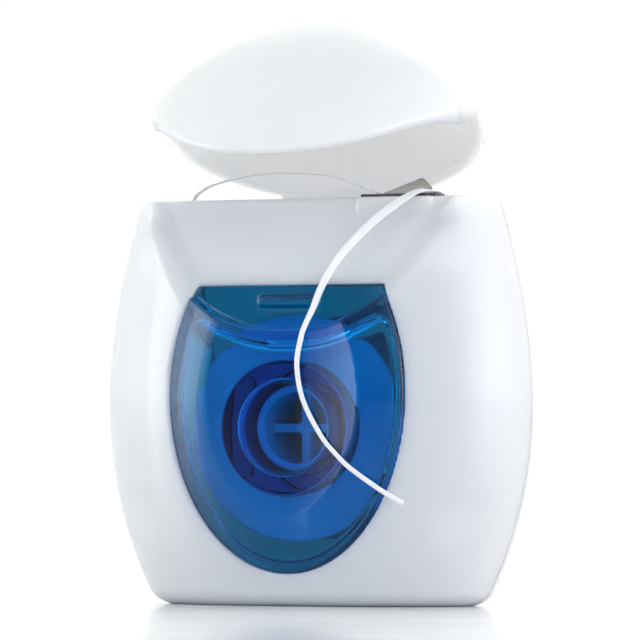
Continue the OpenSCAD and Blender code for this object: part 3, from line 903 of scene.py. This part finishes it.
def make_lid():
    grid = Grid(
        (-lid_w / 2, -lid_front - lid_tips_y, body_h - seat_drop),
        (lid_w / 2, hinge_y + barrel_r, body_h + lid_h),
        STEP,
    )
    shell = without(lid_form(grid, 0, seat_drop), lid_form(grid, lid_wall, seat_drop))
    above = grid.full(body_h + lid_gap - grid.z)
    tongue = grid.distance(edge_z(grid.x, seat_drop - tongue_gap) - grid.z)
    tongue = both(tongue, grid.full(grid.y + lid_tips_y + tongue_start))
    shell = both(shell, either(above, tongue, 0.6), lip_round)
    shell = either(shell, grid.bar_x(hinge_y, hinge_z, barrel_l, barrel_r, 0.2))
    web = grid.block(
        (-barrel_l / 2, hinge_y - barrel_r + web_in, hinge_z),
        (barrel_l / 2, hinge_y, body_h + lid_gap + web_up),
    )
    shell = either(shell, web, 0.2)
    lip_y = lid_front + lid_tips_y - tongue_curl - lid_wall
    bead_z = float(edge_z(0, seat_drop)) + tongue_gap + bead_up
    shell = either(shell, grid.bar_x(-lip_y, bead_z, bead_l, bead_r, 0.2), 0.15)
    for side in (-1, 1):
        bore = grid.bar_x(
            hinge_y, hinge_z, 2 * (pin_l - barrel_clearance + bore_spare),
            pin_r + pin_clearance, 0.0, side * barrel_l / 2,
        )
        shell = without(shell, bore)
    piece = field_object("lid_shell", grid, shell)
    about = Vector((0, hinge_y, hinge_z)) * MM
    turn = Matrix.Rotation(math.radians(-lid_open), 4, "X")
    piece.data.transform(Matrix.Translation(about) @ turn @ Matrix.Translation(-about))
    finish_piece(piece, LID_WHITE, "lid", "white_case", "lid")


# The spool and the winding

def lathe(name, profile, z, sharp=35):
    """A closed ring turned about an axis along y, from a profile of radius and y."""
    segments = 96
    points = []
    for k in range(segments):
        t = 2 * math.pi * k / segments
        points += [(r * math.cos(t), y, z + r * math.sin(t)) for r, y in profile]
    count = len(profile)
    faces = []
    for k in range(segments):
        low = k * count
        high = (k + 1) % segments * count
        for j in range(count):
            after = (j + 1) % count
            faces.append((low + j, low + after, high + after, high + j))
    return mesh_object(name, points, faces, sharp)


def make_spool():
    rim = spool_rim
    hub = hub_bore + hub_wall
    profile = [
        (hub_bore, -spool_front),
        (flange_r - rim, -spool_front),
        (flange_r, rim - spool_front),
        (flange_r, flange_t - rim - spool_front),
        (flange_r - rim, flange_t - spool_front),
        (hub, flange_t - spool_front),
        (hub, spool_rear - flange_t),
        (flange_r - rim, spool_rear - flange_t),
        (flange_r, spool_rear - flange_t + rim),
        (flange_r, spool_rear - rim),
        (flange_r - rim, spool_rear),
        (hub_bore, spool_rear),
    ]
    spool = lathe("spool_body", profile, spool_z)
    finish_piece(spool, SPOOL_PAINTED_SHADE, "spool", "spool_plastic", "spool")


def make_winding():
    front = flange_t + winding_gap - spool_front
    width = spool_front + spool_rear - 2 * flange_t - 2 * winding_gap
    profile = [(hub_bore + hub_wall, front)]
    steps = winding_turns * steps_a_turn
    for k in range(steps + 1):
        y = front + width * k / steps
        bump = winding_crown * abs(math.sin(math.pi * k / steps_a_turn))
        profile.append((bulk_r + winding_out + bump, y))
    profile.append((hub_bore + hub_wall, front + width))
    winding = lathe("floss_winding", profile, spool_z, 80)
    finish_piece(winding, FLOSS, "spool", "floss", "floss_bulk", "floss_outer_turns")


# The cutter

def make_cutter():
    form = bmesh.new()

    def plate(low, high):
        made = bmesh.ops.create_cube(form, size=1)["verts"]
        size = Vector(high) - Vector(low)
        middle = (Vector(high) + Vector(low)) / 2
        for v in made:
            v.co = Vector(a * b for a, b in zip(v.co, size)) + middle

    left = cutter_x
    right = cutter_x + cutter_l
    plate(
        (left, -cutter_y - cutter_w / 2, body_h),
        (right, -cutter_y + cutter_w / 2, body_h + steel_t),
    )
    for x in (left, right - steel_t):
        plate(
            (x, -cutter_y - leg_w / 2, body_h - leg_l),
            (x + steel_t, -cutter_y + leg_w / 2, body_h + steel_t / 2),
        )
    outline = [
        (0, -steel_t / 2), (fin_l, -steel_t / 2), (fin_l, fin_right),
        (fin_l - fin_corner, (fin_right + fin_h) / 2), (fin_peak, fin_h),
        (fin_rise, fin_left), (0, fin_left / 2),
    ]
    faces = []
    for y in (-steel_t / 2, steel_t / 2):
        corners = []
        for x, z in outline:
            leant = y - cutter_y - fin_lean * (fin_h - z) / fin_h + fin_lean
            corners.append(form.verts.new((left + fin_in + x, leant, body_h + z)))
        faces.append(corners)
    form.faces.new(faces[0])
    form.faces.new(faces[1][::-1])
    for k in range(len(outline)):
        after = (k + 1) % len(outline)
        form.faces.new((faces[0][after], faces[0][k], faces[1][k], faces[1][after]))
    bmesh.ops.bevel(form, geom=form.edges[:], offset=cutter_bevel, segments=2, affect="EDGES")
    mesh = bpy.data.meshes.new("cutter_plate")
    form.to_mesh(mesh)
    form.free()
    mesh.transform(Matrix.Scale(MM, 4))
    mesh.shade_smooth()
    mesh.set_sharp_from_angle(angle=math.radians(40))
    piece = bpy.data.objects.new("cutter_plate", mesh)
    bpy.context.scene.collection.objects.link(piece)
    finish_piece(piece, STEEL, "case", "cutter_steel", "cutter_blade")
    mesh.materials.append(CUT_STEEL)
    for face in mesh.polygons:
        if face.center.z < (body_h + steel_t) * MM and abs(face.normal.z) < 0.9:
            face.material_index = 1


make_front_shell()
make_rear_shell()
make_window()
make_lid()
make_spool()
make_winding()
make_cutter()


# The stage

def make_floor():
    size = 6
    mesh = bpy.data.meshes.new("floor")
    mesh.from_pydata(
        [(-size, -size, 0), (size, -size, 0), (size, size, 0), (-size, size, 0)], [], [(0, 1, 2, 3)]
    )
    mesh.materials.append(floor_material())
    floor = bpy.data.objects.new("floor", mesh)
    bpy.context.scene.collection.objects.link(floor)


def area_light(name, place, aim, size, power, colour):
    data = bpy.data.lights.new(name, "AREA")
    data.shape = "RECTANGLE"
    data.size, data.size_y = size
    data.energy = power
    data.color = colour
    light = bpy.data.objects.new(name, data)
    light.location = place
    light.rotation_euler = (Vector(aim) - Vector(place)).to_track_quat("-Z", "Y").to_euler()
    bpy.context.scene.collection.objects.link(light)


# Soft light from all round: the way to its middle, how narrow it is, and its colour
LOBES = [
    ((-0.50, 0.86, 0.09), 14, (0.18, 0.18, 0.18)),
    ((-0.86, 0.50, 0.09), 14, (0.72, 0.71, 0.72)),
    ((-0.99, 0.09, 0.09), 14, (0.76, 0.73, 0.76)),
    ((-0.96, -0.26, 0.09), 14, (1.86, 1.77, 1.79)),
    ((-0.86, -0.50, 0.09), 14, (2.10, 2.13, 2.21)),
    ((0.86, -0.50, 0.09), 14, (2.74, 2.89, 3.25)),
    ((0.96, -0.26, 0.09), 14, (2.05, 2.02, 2.08)),
    ((0.99, 0.09, 0.09), 14, (1.53, 1.46, 1.44)),
    ((0.50, 0.86, 0.09), 14, (0.59, 0.59, 0.59)),
    ((0.00, 1.00, 0.09), 6, (0.72, 0.73, 0.78)),
    ((-0.71, -0.00, 0.71), 6, (0.66, 0.71, 0.65)),
    ((0.71, -0.00, 0.71), 6, (1.35, 1.32, 1.27)),
    ((0.00, 0.71, 0.71), 5, (1.93, 1.84, 1.66)),
    ((0.00, -0.71, 0.71), 6, (0.55, 0.66, 0.76)),
]
# Upright strips of light: from one angle to another round the object, both taken from the
# front towards the left, their distance, height and half height, brightness and colour
STRIPS = [
    ("left_strip", 51, 69, 0.65, 0.12, 0.3, 1.99, (1.0, 1.0, 0.97)),
    ("front_strip", 14, 17, 0.62, 0.10, 0.2, 3.55, (0.95, 1.0, 1.05)),
    ("front_strip_1", 17, 18, 0.62, 0.10, 0.2, 2.72, (0.95, 1.0, 1.05)),
    ("front_strip_2", 18, 19, 0.62, 0.10, 0.2, 1.89, (0.95, 1.0, 1.05)),
    ("front_strip_3", 19, 20, 0.62, 0.10, 0.2, 1.06, (0.95, 1.0, 1.05)),
    ("front_strip_4", 20, 21, 0.62, 0.10, 0.2, 0.47, (0.95, 1.0, 1.05)),
]


def make_world():
    world = bpy.data.worlds.new("studio")
    world.use_nodes = True
    tree = world.node_tree
    place = tree.nodes.new("ShaderNodeTexCoord")
    total = None
    for way, narrow, colour in LOBES:
        along = tree.nodes.new("ShaderNodeVectorMath")
        along.operation = "DOT_PRODUCT"
        along.inputs[1].default_value = Vector(way).normalized() * narrow
        tree.links.new(place.outputs["Generated"], along.inputs[0])
        power = tree.nodes.new("ShaderNodeMath")
        power.operation = "SUBTRACT"
        power.inputs[1].default_value = narrow
        tree.links.new(along.outputs["Value"], power.inputs[0])
        share = tree.nodes.new("ShaderNodeMath")
        share.operation = "EXPONENT"
        tree.links.new(power.outputs["Value"], share.inputs[0])
        add = tree.nodes.new("ShaderNodeVectorMath")
        add.operation = "MULTIPLY_ADD"
        tree.links.new(share.outputs["Value"], add.inputs[0])
        add.inputs[1].default_value = colour
        if total:
            tree.links.new(total, add.inputs[2])
        total = add.outputs["Vector"]
    # The camera sees plain white behind the object, and all else sees the soft lights
    path = tree.nodes.new("ShaderNodeLightPath")
    seen = tree.nodes.new("ShaderNodeMix")
    seen.data_type = "RGBA"
    seen.inputs["B"].default_value = (1.02, 1.02, 1.02, 1)
    tree.links.new(path.outputs["Is Camera Ray"], seen.inputs["Factor"])
    tree.links.new(total, seen.inputs["A"])
    tree.links.new(seen.outputs["Result"], tree.nodes["Background"].inputs["Color"])
    bpy.context.scene.world = world


def make_lights():
    make_world()
    for name, start, end, far, up, half, bright, colour in STRIPS:
        turn = math.radians((start + end) / 2)
        width = 2 * far * math.tan(math.radians((end - start) / 2))
        power = bright * math.pi * width * 2 * half
        place = (-far * math.sin(turn), -far * math.cos(turn), up)
        area_light(name, place, (0, 0, 0.028), (width, 2 * half), power, colour)
    bpy.context.scene.view_settings.view_transform = "Standard"


make_floor()
make_lights()
